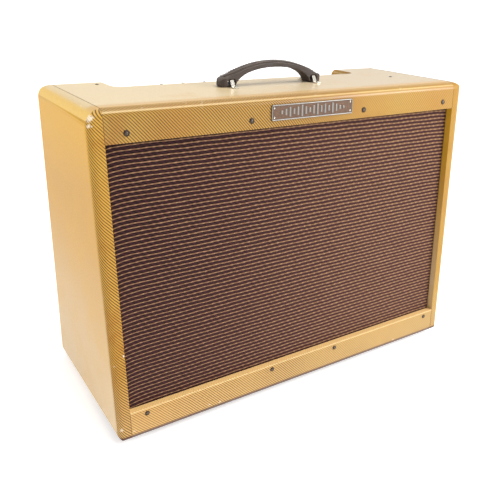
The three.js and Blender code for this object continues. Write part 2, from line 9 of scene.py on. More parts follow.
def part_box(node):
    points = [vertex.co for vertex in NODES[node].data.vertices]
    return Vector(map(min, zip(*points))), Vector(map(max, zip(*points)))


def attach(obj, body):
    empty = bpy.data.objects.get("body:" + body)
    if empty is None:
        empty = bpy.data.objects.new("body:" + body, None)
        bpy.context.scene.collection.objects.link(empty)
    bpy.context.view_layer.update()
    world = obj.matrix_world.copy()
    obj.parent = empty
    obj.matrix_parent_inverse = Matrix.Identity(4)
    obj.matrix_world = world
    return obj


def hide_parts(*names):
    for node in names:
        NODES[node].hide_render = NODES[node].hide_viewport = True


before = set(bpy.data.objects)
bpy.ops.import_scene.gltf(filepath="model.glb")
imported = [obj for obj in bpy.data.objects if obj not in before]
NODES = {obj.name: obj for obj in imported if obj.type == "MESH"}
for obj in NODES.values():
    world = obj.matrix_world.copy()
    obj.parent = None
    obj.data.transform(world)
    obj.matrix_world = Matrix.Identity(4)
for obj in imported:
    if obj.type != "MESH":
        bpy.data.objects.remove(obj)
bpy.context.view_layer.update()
random.seed(7)

# ------------------------------------------------------------------ places, from the frame

MM = 0.001
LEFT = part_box("side_board_left")
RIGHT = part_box("side_board_right")
HALF_WIDTH = RIGHT[1].x
TOP = LEFT[1].z
BASE = LEFT[0].z
BASE_DEPTH = 0.288
FRONT_LEAN = 0.0724
REAR_LEAN = 0.0547
LEAN = math.atan(FRONT_LEAN)
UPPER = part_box("front_panel_upper")
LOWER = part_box("front_panel_lower")
OPENING_LOW = LOWER[1].z
OPENING_HIGH = UPPER[0].z
PANEL_Z = 0.463
EDGE_RADIUS = 0.012
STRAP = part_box("handle_strap")
HANDLE_Y = (STRAP[0].y + STRAP[1].y) / 2


def front_at(z):
    return -BASE_DEPTH / 2 + FRONT_LEAN * (z - BASE)


def rear_at(z):
    return BASE_DEPTH / 2 - REAR_LEAN * (z - BASE)


# ------------------------------------------------------------------ material graphs


def srgb(red, green, blue):
    """An 8-bit display colour as the linear colour that a shader takes."""
    out = []
    for value in (red, green, blue):
        c = value / 255
        out.append(c / 12.92 if c <= 0.04045 else ((c + 0.055) / 1.055) ** 2.4)
    return (*out, 1.0)


class Graph:
    """A material whose nodes are added by short calls. Inputs are sockets or constants."""

    def __init__(self, name):
        self.material = bpy.data.materials.new(name)
        self.material.use_nodes = True
        self.tree = self.material.node_tree
        self.shader = self.tree.nodes["Principled BSDF"]

    def node(self, kind, inputs=None, **settings):
        made = self.tree.nodes.new(kind)
        for key, value in settings.items():
            setattr(made, key, value)
        for key, value in (inputs or {}).items():
            self.feed(made.inputs[key], value)
        return made

    def feed(self, socket, value):
        if isinstance(value, bpy.types.NodeSocket):
            self.tree.links.new(value, socket)
        elif value is not None:
            socket.default_value = value

    def set(self, **inputs):
        for key, value in inputs.items():
            self.feed(self.shader.inputs[key.replace("_", " ")], value)

    def math(self, operation, a, b=None, c=None, clamp=False):
        made = self.node("ShaderNodeMath", operation=operation, use_clamp=clamp)
        for socket, value in zip(made.inputs, (a, b, c)):
            self.feed(socket, value)
        return made.outputs[0]

    def add(self, a, b):
        return self.math("ADD", a, b)

    def times(self, a, b):
        return self.math("MULTIPLY", a, b)

    def steps(self, value, low, high, out_low=0.0, out_high=1.0):
        """Runs smoothly from out_low to out_high as value goes from low to high."""
        made = self.node("ShaderNodeMapRange", interpolation_type="SMOOTHSTEP")
        for key, setting in zip(range(5), (value, low, high, out_low, out_high)):
            self.feed(made.inputs[key], setting)
        return made.outputs[0]

    def mix(self, factor, a, b, blend="MIX"):
        made = self.node("ShaderNodeMix", data_type="RGBA", blend_type=blend, clamp_factor=True)
        self.feed(made.inputs["Factor"], factor)
        self.feed(made.inputs["A"], a)
        self.feed(made.inputs["B"], b)
        return made.outputs["Result"]

    def mix_value(self, factor, a, b):
        made = self.node("ShaderNodeMix", data_type="FLOAT")
        for key, value in (("Factor", factor), ("A", a), ("B", b)):
            self.feed(made.inputs[key], value)
        return made.outputs["Result"]

    def place(self):
        """The point's coordinates in the row frame, as x, y and z sockets."""
        coordinates = self.node("ShaderNodeTexCoord").outputs["Object"]
        split = self.node("ShaderNodeSeparateXYZ", {"Vector": coordinates})
        return coordinates, split.outputs["X"], split.outputs["Y"], split.outputs["Z"]

    def normal(self):
        normal = self.node("ShaderNodeTexCoord").outputs["Normal"]
        split = self.node("ShaderNodeSeparateXYZ", {"Vector": normal})
        return split.outputs["X"], split.outputs["Y"], split.outputs["Z"]

    def vector(self, x, y, z):
        return self.node("ShaderNodeCombineXYZ", {"X": x, "Y": y, "Z": z}).outputs[0]

    def noise(self, at, scale, detail=3.0, roughness=0.5):
        inputs = {"Vector": at, "Scale": scale, "Detail": detail, "Roughness": roughness}
        return self.node("ShaderNodeTexNoise", inputs).outputs["Fac"]

    def wave(self, turns):
        """A sine of so many turns, from 0 to 1."""
        sine = self.math("SINE", self.times(turns, 2 * math.pi))
        return self.math("MULTIPLY_ADD", sine, 0.5, 0.5)

    def bump(self, height, distance, strength=1.0):
        inputs = {"Height": height, "Distance": distance, "Strength": strength}
        return self.node("ShaderNodeBump", inputs).outputs["Normal"]


# ------------------------------------------------------------------ cloth materials

TWEED_ACROSS = 222.0  # stripes per metre along the width, and up the height
TWEED_UP = 205.0
THREAD = 1050.0  # threads per metre
GOLD_DEEP = srgb(184, 130, 34)
GOLD_LIGHT = srgb(190, 147, 54)
GOLD_STAINED = srgb(172, 114, 22)
SIDE_LOW = srgb(204, 178, 140)
SIDE_MIDDLE = srgb(188, 140, 50)
SIDE_HIGH = srgb(200, 150, 32)
SIDE_EDGE = srgb(224, 184, 96)
TOP_NEAR = srgb(220, 197, 154)
TOP_FAR = srgb(203, 184, 154)
TOP_AMBER = srgb(208, 162, 88)
GRILLE_TONE = (0.76, 0.70, 0.79, 1.0)


def tweed(name, across, up, fade=0.0, pale=(0.0, 0.0), coat=0.4, light=(1.0, 1.0), scuffs=(), crest=0.0):
    """Lacquered tweed wrapped round a board without a break.

    across and up say how the unrolled cloth runs on as a point goes back from the front face:
    -1 or 1 round a side edge, 1 over the top edge and -1 under the bottom one.
    fade takes contrast from the stripes on the front, pale says how far painted sheen sets the flat
    side and top apart from it. light is the painted light level of the front at its left and right
    end, and scuffs are (x, y, z, radius) in mm where the cloth is rubbed white. crest is the height
    of a painted highlight line along an edge.
    """
    g = Graph(name)
    where, x, y, z = g.place()
    nx, ny, nz = g.normal()
    front = g.math("MULTIPLY_ADD", z, FRONT_LEAN, -BASE_DEPTH / 2 - FRONT_LEAN * BASE)
    behind = g.math("SUBTRACT", y, front)
    u = g.math("MULTIPLY_ADD", behind, float(across), x)
    v = g.math("MULTIPLY_ADD", behind, float(up), z)
    wander = g.math("MULTIPLY_ADD", g.noise(where, 18.0, 2.0), 0.9, -0.45)
    turns = g.add(g.times(u, TWEED_ACROSS), g.math("MULTIPLY_ADD", v, TWEED_UP, wander))
    stripe = g.wave(turns)
    threads = g.times(g.wave(g.times(u, THREAD)), g.wave(g.times(v, THREAD)))
    fuzz = g.noise(where, 900.0, 2.0, 0.7)
    broken = g.math("MULTIPLY_ADD", fuzz, 0.44, g.math("MULTIPLY_ADD", threads, 0.22, -0.33))
    dark = g.steps(g.add(stripe, broken), 0.40, 0.76)

    facing = g.math("ABSOLUTE", ny)
    flat = g.steps(facing, 0.12, 0.5)
    worn_right = g.steps(x, -0.06, 0.24, 0.0, 0.55)
    patchy = g.steps(g.noise(where, 7.0, 3.0), 0.35, 0.75, 0.0, 0.3)
    kept = g.math("SUBTRACT", 1.0, g.add(worn_right, g.add(patchy, fade)), clamp=True)
    # The stripes keep full contrast only where the cloth faces the front; on the side and top faces they
    # are washed out as painted sheen.
    contrast = g.math("MULTIPLY_ADD", g.times(flat, kept), 0.90, 0.09)

    gold = g.mix(g.steps(g.noise(where, 5.0, 4.0), 0.3, 0.7), GOLD_DEEP, GOLD_LIGHT)
    stained_and_floor_lit = g.mix(g.steps(g.noise(where, 14.0, 5.0, 0.6), 0.52, 0.78), gold, GOLD_STAINED)
    # Painted light: on the front faces the cloth turns paler towards the bottom, as if lit from the
    # floor; the noise patches above are real stains.
    low_down = g.steps(z, 0.14, 0.02, 0.0, 0.65)
    stained_and_floor_lit = g.mix(g.times(low_down, flat), stained_and_floor_lit, srgb(194, 158, 100))
    # Painted reflection and light on the flat side: pale cream low down where the white floor is
    # mirrored, deep gold high up, lighter where the cloth turns to face up; the blotches are uneven tone
    # of the cloth.
    cream = g.mix(g.steps(z, 0.02, 0.36), SIDE_LOW, SIDE_MIDDLE)
    cream = g.mix(g.steps(z, 0.36, 0.475), cream, SIDE_HIGH)
    blotch = g.steps(g.noise(where, 9.0, 4.0, 0.6), 0.42, 0.7)
    cream = g.mix(g.times(blotch, 0.35), cream, SIDE_HIGH)
    cream = g.mix(g.steps(nz, 0.08, 0.5), cream, SIDE_EDGE)
    # Painted sheen on the top: pale ivory where the overhead light is mirrored, dimmer towards the
    # right, giving way to amber near the front edge; the amber noise patches are real stains.
    ivory = g.mix(g.steps(x, -0.3, 0.3), TOP_NEAR, TOP_FAR)
    amber = g.steps(g.noise(where, 11.0, 4.0, 0.6), 0.56, 0.78, 0.0, 0.55)
    near_edge = g.steps(behind, 0.034, 0.018, 0.0, 0.75)
    ivory = g.mix(g.math("MAXIMUM", amber, near_edge), ivory, TOP_AMBER)
    # pale chooses whether the side and top faces take this painted sheen and light.
    on_side = g.times(g.steps(facing, 0.60, 0.15), pale[0])
    on_top = g.times(g.steps(nz, 0.72, 0.97), pale[1])
    ground = g.mix(on_top, g.mix(on_side, stained_and_floor_lit, cream), ivory)
    brown = g.mix(0.95, ground, srgb(58, 24, 3))
    cloth = g.mix(g.times(dark, contrast), ground, brown)
    speckle = g.math("MULTIPLY_ADD", g.noise(where, 330.0, 3.0, 0.8), 0.34, -0.17)
    aside = g.math("SUBTRACT", 1.0, g.times(flat, 0.75))
    grain = g.add(g.math("MULTIPLY_ADD", fuzz, 0.16, 0.92), g.times(speckle, aside))
    # Painted light across the front: it runs from light[0] at the left end to light[1] at the right, on
    # front-facing cloth only.
    lit = g.steps(x, -HALF_WIDTH, HALF_WIDTH, light[0], light[1])
    shade = g.times(grain, g.mix_value(flat, 1.0, lit))
    cloth = g.mix(1.0, cloth, g.vector(shade, shade, shade), "MULTIPLY")

    corner = g.math("MAXIMUM", g.math("ABSOLUTE", nx), g.math("MAXIMUM", facing, nz))
    on_edge = g.steps(corner, 0.99, 0.8)
    rubbed = g.times(on_edge, g.steps(g.noise(where, 60.0, 6.0, 0.75), 0.60, 0.72))
    ragged = g.math("MULTIPLY_ADD", g.noise(where, 220.0, 6.0, 0.75), 0.016, -0.0068)
    for sx, sy, sz, radius in scuffs:
        spot = g.node("ShaderNodeVectorMath", operation="DISTANCE")
        g.feed(spot.inputs[0], where)
        spot.inputs[1].default_value = (sx * MM, sy * MM, sz * MM)
        away = g.add(spot.outputs["Value"], ragged)
        rubbed = g.math("MAXIMUM", rubbed, g.steps(away, radius * MM, radius * 0.4 * MM))
    cloth = g.mix(g.times(rubbed, 0.62), cloth, srgb(244, 232, 212))
    # Painted shade: the underside and the lowest strip of each board are darkened brown, most towards
    # the front.
    under = g.steps(nz, -0.15, -0.75)
    underside_shade = g.math("MAXIMUM", g.steps(z, BASE + 0.0125, BASE + 0.0080), g.times(under, 0.9))
    underside_shade = g.times(underside_shade, g.steps(y, 0.05, -0.12, 0.45, 1.0))
    cloth = g.mix(g.times(underside_shade, 0.97), cloth, srgb(70, 32, 6))
    # Painted highlight: a bright broken line along the edge at the height crest.
    from_highlight_line = g.math("ABSOLUTE", g.math("SUBTRACT", z, crest))
    edge_highlight = g.times(g.steps(from_highlight_line, 0.0017, 0.0003), g.steps(fuzz, 0.3, 0.6, 0.12, 0.46))
    cloth = g.mix(edge_highlight, cloth, srgb(250, 222, 164))

    g.set(Base_Color=cloth)
    g.set(Roughness=g.math("MULTIPLY_ADD", fuzz, 0.16, 0.44))
    g.shader.inputs["Coat Weight"].default_value = coat
    g.shader.inputs["Coat Roughness"].default_value = 0.28
    g.shader.inputs["Specular IOR Level"].default_value = 0.2
    relief = g.add(g.times(stripe, 0.5), g.times(threads, 0.6))
    g.set(Normal=g.bump(relief, 0.00022, 0.6))
    return g.material


def grille_cloth_material():
    """Oxblood ground with a gold thread in every row. The mesh says how far up the rows it is."""
    g = Graph("oxblood_grille_cloth")
    where, x, y, z = g.place()
    row = g.node("ShaderNodeAttribute", attribute_name="thread_row").outputs["Fac"]
    within = g.math("FRACT", row)
    number = g.math("FLOOR", row)
    off_centre = g.math("ABSOLUTE", g.math("SUBTRACT", within, 0.5))
    right = g.steps(x, -0.31, 0.20)
    width = g.math("MULTIPLY_ADD", right, 0.085, 0.125)
    bead_at = g.vector(g.times(x, 115.0), g.times(number, 3.7), 0.0)
    bead = g.noise(bead_at, 1.0, 1.5, 0.6)
    swell = g.math("MULTIPLY_ADD", bead, 0.10, -0.05)
    gold = g.steps(off_centre, g.add(width, g.add(swell, 0.045)), g.add(width, -0.05))
    twist = g.wave(g.math("MULTIPLY_ADD", x, 640.0, g.times(row, 1.5)))
    knot = g.math("POWER", g.wave(g.math("MULTIPLY_ADD", x, 91.0, g.times(number, 0.43))), 3.0)
    bright = g.math("MULTIPLY_ADD", bead, 0.55, g.math("MULTIPLY_ADD", twist, 0.14, 0.05))
    bright = g.math("MULTIPLY_ADD", knot, 0.4, bright)
    gold_colour = g.mix(bright, srgb(92, 64, 38), srgb(176, 142, 100))

    columns = g.wave(g.times(x, 830.0))
    slub = g.noise(g.vector(g.times(x, 260.0), g.times(row, 5.0), 0.0), 1.0, 3.0, 0.65)
    dash = g.wave(g.math("MULTIPLY_ADD", x, 108.0, g.times(number, 0.37)))
    lit = g.add(g.times(slub, 0.7), g.times(dash, 0.3))
    ground = g.mix(g.steps(lit, 0.3, 0.72), srgb(20, 8, 9), srgb(58, 28, 31))
    middle = g.steps(off_centre, 0.40, 0.49)
    ground = g.mix(g.times(middle, g.times(columns, 0.3)), ground, srgb(96, 62, 56))
    # Painted sheen: the ground turns paler and tan towards the right and towards the bottom.
    painted_sheen = g.math("MULTIPLY_ADD", right, 0.17, g.steps(z, 0.40, 0.06, 0.0, 0.08))
    ground = g.mix(painted_sheen, ground, srgb(120, 78, 74))
    colour = g.mix(gold, ground, gold_colour)
    colour = g.mix(1.0, colour, GRILLE_TONE, "MULTIPLY")
    g.set(Base_Color=colour, Roughness=0.78)
    g.shader.inputs["Specular IOR Level"].default_value = 0.12
    relief = g.add(g.times(gold, 0.6), g.add(g.times(columns, 0.25), g.times(slub, 0.4)))
    g.set(Normal=g.bump(relief, 0.0003, 0.7))
    return g.material


# ------------------------------------------------------------------ other materials


def metal(name, colour, roughness, mottled=0.06, scratches=0.5, plated=1.0):
    g = Graph(name)
    where, x, y, z = g.place()
    cloudy = g.noise(where, 40.0, 4.0, 0.6)
    fine = g.noise(g.vector(g.times(x, 0.15), y, z), 1600.0, 2.0)
    tarnish = g.mix(g.times(g.steps(cloudy, 0.5, 0.8), mottled * 4), colour, srgb(96, 84, 70))
    g.set(Base_Color=tarnish)
    g.set(Roughness=g.math("MULTIPLY_ADD", cloudy, mottled * 2, roughness - mottled))
    g.shader.inputs["Metallic"].default_value = plated
    g.set(Normal=g.bump(fine, 0.00002, scratches))
    return g.material


def plastic(name, colour, roughness, coat=0.0):
    g = Graph(name)
    where, x, y, z = g.place()
    cloudy = g.noise(where, 55.0, 4.0, 0.6)
    g.set(Base_Color=g.mix(g.times(cloudy, 0.35), colour, srgb(70, 66, 60)))
    g.set(Roughness=g.math("MULTIPLY_ADD", cloudy, 0.18, roughness - 0.09))
    g.shader.inputs["Coat Weight"].default_value = coat
    g.set(Normal=g.bump(g.noise(where, 900.0, 2.0), 0.00003, 0.5))
    return g.material


def wood(name, light, dark, stretch):
    """Boards whose grain runs along X, or layered plywood edges if stretch is small."""
    g = Graph(name)
    where, x, y, z = g.place()
    along = g.vector(g.times(x, stretch), y, z)
    rings = g.noise(along, 38.0, 5.0, 0.6)
    pores = g.noise(g.vector(g.times(x, stretch * 2), y, z), 420.0, 3.0, 0.7)
    lines = g.wave(g.times(rings, 9.0))
    colour = g.mix(g.math("MULTIPLY_ADD", lines, 0.6, g.times(pores, 0.35)), light, dark)
    g.set(Base_Color=colour, Roughness=g.math("MULTIPLY_ADD", pores, 0.25, 0.55))
    g.set(Normal=g.bump(g.add(lines, pores), 0.0003, 0.4))
    return g.material


def leather_material():
    g = Graph("weathered_leather")
    where, x, y, z = g.place()
    cells = g.node(
        "ShaderNodeTexVoronoi", {"Vector": where, "Scale": 1250.0}, feature="DISTANCE_TO_EDGE"
    ).outputs["Distance"]
    grain = g.steps(cells, 0.0, 0.3)
    lengthwise = g.noise(g.vector(g.times(x, 0.16), y, z), 420.0, 5.0, 0.65)
    wrinkles = g.steps(lengthwise, 0.50, 0.62)
    crossing = g.steps(g.noise(g.vector(x, g.times(y, 0.3), z), 230.0, 5.0, 0.7), 0.56, 0.66)
    worn = g.steps(g.noise(where, 48.0, 5.0, 0.65), 0.36, 0.68)
    # Painted light, partly wear: hide that faces up is painted lighter grey, unevenly after the worn
    # noise.
    upper = g.normal()[2]
    rubbed = g.times(g.steps(upper, 0.05, 0.85), g.math("MULTIPLY_ADD", worn, 0.75, 0.25))
    hide = g.mix(g.noise(where, 90.0, 4.0), srgb(46, 34, 29), srgb(66, 52, 44))
    hide = g.mix(g.times(rubbed, 0.6), hide, srgb(124, 112, 102))
    # Painted shade: the lengthwise wrinkles and the cross creases are painted darker.
    hide = g.mix(g.times(wrinkles, 0.35), hide, srgb(38, 29, 24))
    hide = g.mix(g.times(crossing, 0.4), hide, srgb(30, 22, 17))
    g.set(Base_Color=hide, Roughness=g.math("MULTIPLY_ADD", worn, 0.18, 0.46))
    relief = g.add(g.times(grain, 0.5), g.add(g.times(wrinkles, -0.5), g.times(crossing, -0.7)))
    g.set(Normal=g.bump(relief, 0.0002, 0.55))
    return g.material


def glass_material(name, colour, roughness=0.02):
    g = Graph(name)
    where, x, y, z = g.place()
    g.set(Base_Color=g.mix(g.noise(where, 20.0), colour, srgb(235, 240, 240)))
    g.set(Roughness=g.math("MULTIPLY_ADD", g.noise(where, 60.0), 0.05, roughness))
    g.shader.inputs["Transmission Weight"].default_value = 0.85
    g.shader.inputs["IOR"].default_value = 1.5
    return g.material


def paper_material():
    g = Graph("cone_paper")
    where, x, y, z = g.place()
    fibres = g.noise(where, 700.0, 4.0, 0.8)
    g.set(Base_Color=g.mix(fibres, srgb(38, 34, 31), srgb(74, 67, 60)), Roughness=0.92)
    g.set(Normal=g.bump(fibres, 0.0004, 0.8))
    return g.material


def enamel_material():
    g = Graph("brown_enamel")
    where, x, y, z = g.place()
    specks = g.noise(where, 500.0, 4.0, 0.7)
    g.set(Base_Color=g.mix(g.steps(specks, 0.35, 0.7), srgb(74, 46, 24), srgb(108, 74, 44)))
    g.set(Roughness=g.math("MULTIPLY_ADD", specks, 0.2, 0.3))
    g.set(Normal=g.bump(specks, 0.0001, 0.5))
    return g.material


NICKEL = metal("worn_nickel", srgb(214, 208, 196), 0.24, 0.06)
CHROME = metal("chrome_plate", srgb(226, 226, 226), 0.12, 0.03)
WORN_CHROME = metal("worn_chrome", srgb(136, 134, 130), 0.32, 0.05)
STEEL = metal("plated_steel", srgb(170, 166, 152), 0.38, 0.08)
ALUMINIUM = metal("spun_aluminium", srgb(206, 206, 204), 0.33, 0.05)
AGED_NICKEL = metal("aged_nickel", srgb(98, 88, 78), 0.3, 0.08)
DARK_STEEL = metal("oxidised_steel", srgb(70, 58, 50), 0.35, 0.1)
BLACK_PAINT = plastic("black_paint", srgb(26, 26, 27), 0.42, 0.2)
BASKET_PAINT = plastic("grey_hammered_paint", srgb(112, 118, 118), 0.4, 0.3)
BAKELITE = plastic("black_phenolic", srgb(14, 12, 11), 0.22, 0.5)
FIBRE = plastic("black_fibre", srgb(40, 38, 34), 0.8)
RUBBER = plastic("black_rubber", srgb(26, 26, 26), 0.72)
SEAM_BROWN = plastic("seam_dirt", srgb(120, 72, 22), 0.8)
WHITE_PAINT = plastic("white_filler", srgb(226, 222, 210), 0.5)
WAXED_YELLOW = plastic("waxed_card", srgb(196, 150, 40), 0.5, 0.2)
INK = plastic("engraved_ink", srgb(30, 24, 20), 0.6)
THREAD_DARK = plastic("waxed_thread", srgb(96, 82, 70), 0.6)
PINE = wood("raw_pine", srgb(226, 188, 132), srgb(188, 140, 84), 0.06)
# The baffle is near black so that the gaps beside the grille cloth read as shade: painted shade.
BLACK_BOARD = wood("black_plywood_gap_shade", srgb(30, 26, 23), srgb(16, 13, 12), 0.08)
LEATHER = leather_material()
VALVE_GLASS = glass_material("valve_glass", srgb(212, 218, 216))
JEWEL = glass_material("red_jewel", srgb(196, 14, 8), 0.05)
PAPER = paper_material()
ENAMEL = enamel_material()
GRILLE = grille_cloth_material()

LEFT_SCUFFS = (
    (-331, -108, 479, 7),
    (-333, -110, 470, 5),
    (-317, -133.6, 152, 2.5),
    (-312, -143, 24.5, 3),
    (-330, -142, 33, 4),
    (-334, -73, 437, 2.5),
)
LOW_SCUFFS = ((-186, -143, 23, 3.5), (-166, -143, 22, 3), (-311, -143, 24, 3), (214, -143, 20, 3))

# In the calls below, light is each board's painted light level at the front's left and right end, so the
# left and right boards are lit and shaded copies of one cloth, and pale says whether the side and top
# faces take the painted sheen.
TOP_HIGHLIGHT_Z = TOP - 0.0050
TWEED_FRONT = tweed(
    "tweed_front_upper", 0, 1, 0.0, (0.0, 1.0), 0.42, (0.76, 0.80), (), TOP_HIGHLIGHT_Z
)
LOW_HIGHLIGHT_Z = OPENING_LOW - 0.0014
TWEED_LOW = tweed(
    "tweed_front_lower", 0, -1, 0.25, (0.0, 1.0), 0.4, (1.02, 0.74), LOW_SCUFFS, LOW_HIGHLIGHT_Z
)
TWEED_LEFT = tweed("tweed_left", -1, 0, 0.0, (1.0, 1.0), 0.14, (0.94, 0.94), LEFT_SCUFFS)
TWEED_RIGHT = tweed("tweed_right", 1, 0, 0.0, (1.0, 1.0), 0.2, (0.8, 0.8))
TWEED_TOP = tweed("tweed_top", 0, 1, 0.0, (0.0, 1.0), 0.42, (0.8, 0.84), (), TOP_HIGHLIGHT_Z)
TWEED_BACK = tweed("tweed_back", 0, 0, 0.15, (0.0, 0.0), 0.3)

# ------------------------------------------------------------------ CAD nodes that stay


def finish_node(name, material, bevel, segments=2):
    """A node that keeps its shape: softened edges, smooth shading and its own material."""
    node = NODES[name]
    mesh = node.data
    node.material_slots[0].material = material
    if "custom_normal" in mesh.attributes:
        mesh.attributes.remove(mesh.attributes["custom_normal"])
    mesh.polygons.foreach_set("use_smooth", [True] * len(mesh.polygons))
    weld = node.modifiers.new("weld", "WELD")
    weld.merge_threshold = 0.00001
    if bevel:
        soft = node.modifiers.new("soft_edges", "BEVEL")
        soft.width = bevel
        soft.segments = segments
        soft.limit_method = "ANGLE"
        soft.angle_limit = math.radians(32)
        soft.use_clamp_overlap = True
        soft.harden_normals = False
    shade = node.modifiers.new("shading", "WEIGHTED_NORMAL")
    shade.keep_sharp = False
    shade.weight = 60


BOARD_ROUND = 0.0012
SINGLE_NODES = (
    ("side_board_left", TWEED_LEFT, BOARD_ROUND),
    ("side_board_right", TWEED_RIGHT, BOARD_ROUND),
    ("top_board", TWEED_TOP, BOARD_ROUND),
    ("bottom_board", TWEED_LOW, 0.001),
    ("front_panel_upper", TWEED_FRONT, 0.001),
    ("back_panel_upper", TWEED_BACK, 0.001),
    ("back_panel_lower", TWEED_BACK, 0.001),
    ("baffle_board", BLACK_BOARD, 0.0004),
    ("baffle_cleat_upper", PINE, 0.0008),
    ("baffle_cleat_lower", PINE, 0.0008),
    ("chassis", CHROME, 0.0005),
    ("handle_link_left", NICKEL, 0.0003),
    ("handle_link_right", NICKEL, 0.0003),
    ("pilot_lamp_holder", CHROME, 0.0004),
    ("pilot_jewel", JEWEL, 0.0006),
    ("fuse_holder", BAKELITE, 0.0004),
    ("circuit_board", FIBRE, 0.0004),
    ("cord_gland", RUBBER, 0.0004),
    ("speaker_lead", RUBBER, 0.0),
    ("power_transformer", BLACK_PAINT, 0.001),
    ("output_transformer", BLACK_PAINT, 0.001),
    ("filter_choke", BLACK_PAINT, 0.001),
)
NODE_FAMILIES = (
    ("glide", NICKEL, 0.0004),
    ("knob", BAKELITE, 0.0007),
    ("potentiometer", STEEL, 0.0004),
    ("switch_body", STEEL, 0.0004),
    ("switch_lever", NICKEL, 0.0002),
    ("input_jack", NICKEL, 0.0002),
    ("preamp_valve", ALUMINIUM, 0.0004),
    ("power_valve", VALVE_GLASS, 0.0003),
    ("rectifier_valve", VALVE_GLASS, 0.0003),
    ("speaker_frame", BASKET_PAINT, 0.0008),
    ("speaker_cone", PAPER, 0.0),
)
for node_name, material, bevel in SINGLE_NODES:
    finish_node(node_name, material, bevel)
finish_node("front_panel_lower", TWEED_LOW, 0.0016, segments=3)
for family, material, bevel in NODE_FAMILIES:
    for node_name in NODES:
        if node_name.startswith(family):
            finish_node(node_name, material, bevel)

# ------------------------------------------------------------------ making pieces


def piece(name, vertices, faces, material, body, smooth=True):
    mesh = bpy.data.meshes.new(name)
    mesh.from_pydata([tuple(v) for v in vertices], [], faces)
    mesh.validate()
    mesh.materials.append(material)
    mesh.polygons.foreach_set("use_smooth", [smooth] * len(mesh.polygons))
    made = bpy.data.objects.new(name, mesh)
    bpy.context.scene.collection.objects.link(made)
    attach(made, body)
    return made


class Soup:
    """Vertices and faces of several closed bodies, gathered into one piece."""

    def __init__(self):
        self.vertices = []
        self.faces = []

    def add(self, vertices, faces, place=None):
        start = len(self.vertices)
        place = place or Matrix.Identity(4)
        self.vertices += [place @ Vector(v) for v in vertices]
        self.faces += [tuple(start + i for i in face) for face in faces]

    def lathe(self, profile, sides=24, place=None):
        """A closed profile of (radius, height) that starts and ends on the axis."""
        inner = profile[1:-1]
        vertices = [(0, 0, profile[0][1])]
        for radius, height in inner:
            for i in range(sides):
                angle = 2 * math.pi * i / sides
                vertices.append((radius * math.cos(angle), radius * math.sin(angle), height))
        vertices.append((0, 0, profile[-1][1]))
        last = len(vertices) - 1
        faces = [(0, 1 + (i + 1) % sides, 1 + i) for i in range(sides)]
        for ring in range(len(inner) - 1):
            for i in range(sides):
                a = 1 + ring * sides + i
                b = 1 + ring * sides + (i + 1) % sides
                faces.append((a, b, b + sides, a + sides))
        top = 1 + (len(inner) - 1) * sides
        faces += [(last, top + i, top + (i + 1) % sides) for i in range(sides)]
        self.add(vertices, faces, place)

    def tube(self, points, radius, sides=6, place=None):
        """A round tube along points, with flat ends."""
        points = [Vector(p) for p in points]
        vertices = []
        side = None
        for i, point in enumerate(points):
            ahead = points[min(i + 1, len(points) - 1)] - points[max(i - 1, 0)]
            ahead.normalize()
            if side is None:
                side = ahead.orthogonal().normalized()
            side = (side - ahead * side.dot(ahead)).normalized()
            other = ahead.cross(side)
            for k in range(sides):
                angle = 2 * math.pi * k / sides
                vertices.append(point + (side * math.cos(angle) + other * math.sin(angle)) * radius)
        faces = [tuple(reversed(range(sides)))]
        for i in range(len(points) - 1):
            for k in range(sides):
                a = i * sides + k
                b = i * sides + (k + 1) % sides
                faces.append((a, b, b + sides, a + sides))
        faces.append(tuple(range(len(vertices) - sides, len(vertices))))
        self.add(vertices, faces, place)

    def box(self, low, high, place=None):
        (x0, y0, z0), (x1, y1, z1) = low, high
        vertices = [(x, y, z) for z in (z0, z1) for y in (y0, y1) for x in (x0, x1)]
        faces = [
            (0, 2, 3, 1),
            (4, 5, 7, 6),
            (0, 1, 5, 4),
            (2, 6, 7, 3),
            (0, 4, 6, 2),
            (1, 3, 7, 5),
        ]
        self.add(vertices, faces, place)

    def make(self, name, material, body="cabinet", slot=None, smooth=True, bevel=0.0):
        made = piece(name, self.vertices, self.faces, material, body, smooth)
        if bevel:
            soft = made.modifiers.new("soft_edges", "BEVEL")
            soft.width = bevel
            soft.segments = 2
            soft.limit_method = "ANGLE"
            soft.angle_limit = math.radians(35)
        if bevel or not smooth:
            made.modifiers.new("shading", "WEIGHTED_NORMAL")
        return made


def on_front(x, z, out=0.0):
    """A place on the leaning front face, its local +Z pointing out of the face."""
    turn = Matrix.Rotation(math.pi / 2 - LEAN, 4, "X")
    point = Vector((x, front_at(z), z)) + turn.to_3x3() @ Vector((0, 0, out))
    return Matrix.Translation(point) @ turn


def on_rear(x, z, out=0.0):
    turn = Matrix.Rotation(-math.pi / 2 + math.atan(REAR_LEAN), 4, "X")
    point = Vector((x, rear_at(z), z)) + turn.to_3x3() @ Vector((0, 0, out))
    return Matrix.Translation(point) @ turn


# ------------------------------------------------------------------ screws


